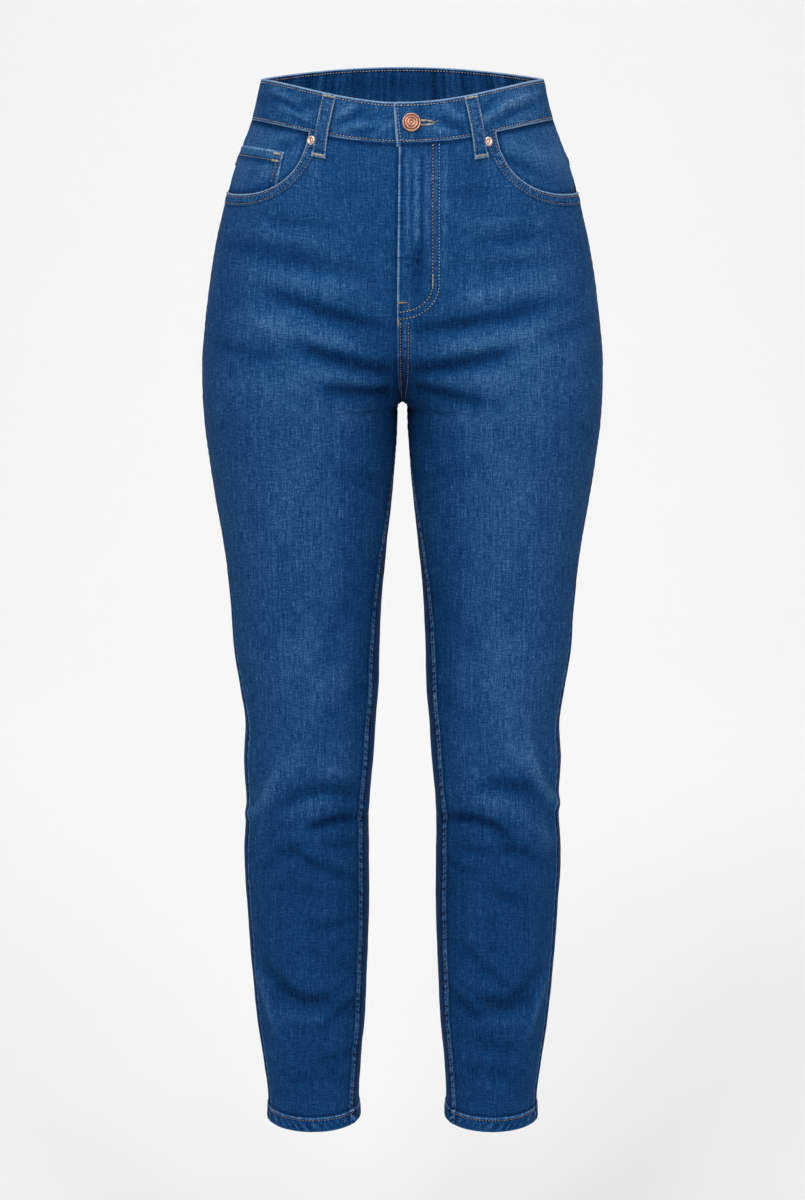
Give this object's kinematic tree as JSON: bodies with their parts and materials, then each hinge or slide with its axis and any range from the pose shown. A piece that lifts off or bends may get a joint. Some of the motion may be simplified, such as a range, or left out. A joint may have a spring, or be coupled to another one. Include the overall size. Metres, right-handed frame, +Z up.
{
  "type": "skinny jeans",
  "caption": "High-waisted skinny jeans in blue denim, hollow as worn, with a buttoned waistband, scoop pockets, a coin pocket, back yokes, patch pockets and belt loops.",
  "frame": {"origin": "the middle of the waist opening, 3 mm under the top edge of the waistband at its sides", "axes": "+Z up out of the waist along the body, -Y towards the front, +X towards the wearer's left"},
  "size_m": [0.3658, 0.25, 0.9922],
  "materials": {
    "denim": "washed mid-blue stretch denim twill, matt with a soft sheen",
    "copper": "worn copper plate, satin"
  },
  "bodies": {
    "root": {"front_left": "denim", "front_right": "denim", "back_left": "denim", "back_right": "denim", "yoke_left": "denim", "yoke_right": "denim", "pocket_facing_left": "denim", "pocket_facing_right": "denim", "coin_pocket": "denim", "back_pocket_left": "denim", "back_pocket_right": "denim", "waistband": "denim", "belt_loop_front_left": "denim", "belt_loop_front_right": "denim", "belt_loop_back_left": "denim", "belt_loop_back_right": "denim", "belt_loop_back_centre": "denim", "button": "copper", "rivet_left": "copper", "rivet_right": "copper"}
  },
  "joints": []
}
